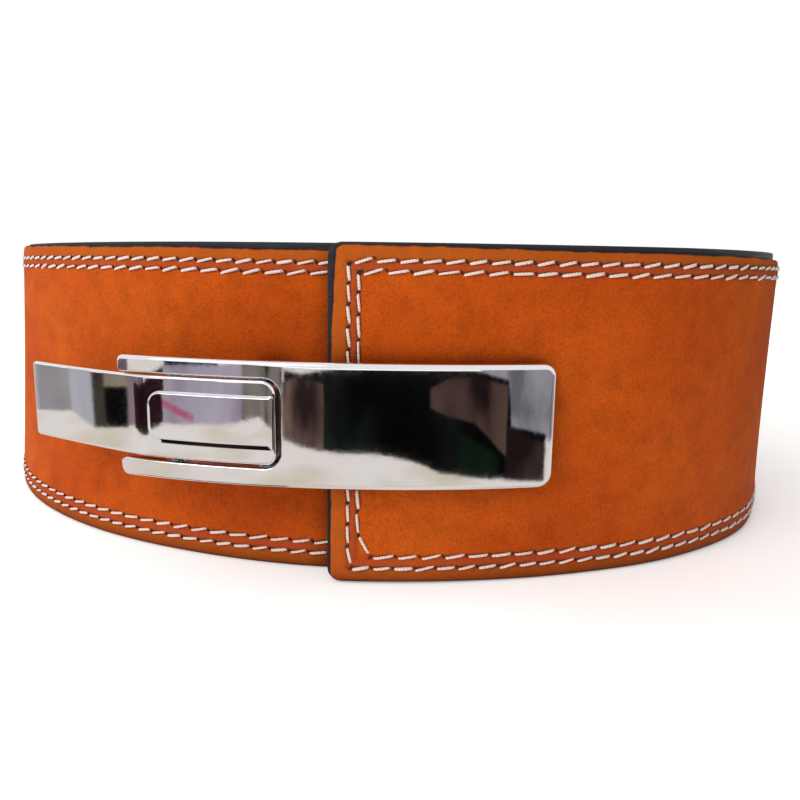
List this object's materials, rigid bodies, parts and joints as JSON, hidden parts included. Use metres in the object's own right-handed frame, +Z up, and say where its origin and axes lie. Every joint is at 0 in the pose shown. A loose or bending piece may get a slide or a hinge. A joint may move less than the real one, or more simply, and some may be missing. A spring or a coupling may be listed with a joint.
{
  "type": "weightlifting belt",
  "caption": "Stiff suede-covered leather lifting belt closed to an oval loop by a chromed steel lever buckle.",
  "frame": {"origin": "middle of the bounding box's bottom face, on the surface the belt stands on", "axes": "+Z up along the belt's height, -Y towards the buckle side, +X to the right when the buckle is looked at"},
  "size_m": [0.3356, 0.2796, 0.1016],
  "materials": {
    "suede_lining": "napped suede",
    "leather_core": "dyed leather, cut edges",
    "suede_face": "napped suede",
    "base_plate": "plain zinc plated steel",
    "base_screw_1": "plain zinc plated steel",
    "base_screw_2": "plain zinc plated steel",
    "base_screw_3": "plain zinc plated steel",
    "base_screw_4": "plain zinc plated steel",
    "base_pin": "plain zinc plated steel",
    "lever": "polished chrome plate",
    "link_pin": "plain zinc plated steel",
    "hook_plate": "polished chrome plate"
  },
  "bodies": {
    "belt": {"suede_lining": "suede_lining", "leather_core": "leather_core", "suede_face": "suede_face", "base_plate": "base_plate", "base_screw_1": "base_screw_1", "base_screw_2": "base_screw_2", "base_screw_3": "base_screw_3", "base_screw_4": "base_screw_4", "base_pin": "base_pin"},
    "lever": {"lever": "lever", "link_pin": "link_pin"},
    "hook_plate": {"hook_plate": "hook_plate"}
  },
  "joints": [
    {"name": "lever_turn", "type": "hinge", "parent": "belt", "child": "lever", "pos_m": [-0.0278, -0.13117, 0.0503], "axis": [0, 0, 1], "range_deg": [0, 150]},
    {"name": "hook_plate_turn", "type": "hinge", "parent": "lever", "child": "hook_plate", "pos_m": [-0.0566, -0.12622, 0.0503], "axis": [0, 0, 1], "range_deg": [-150, 0]}
  ],
  "couplings": [
    {"joint": "hook_plate_turn", "follows": "lever_turn", "ratio": -1}
  ]
}
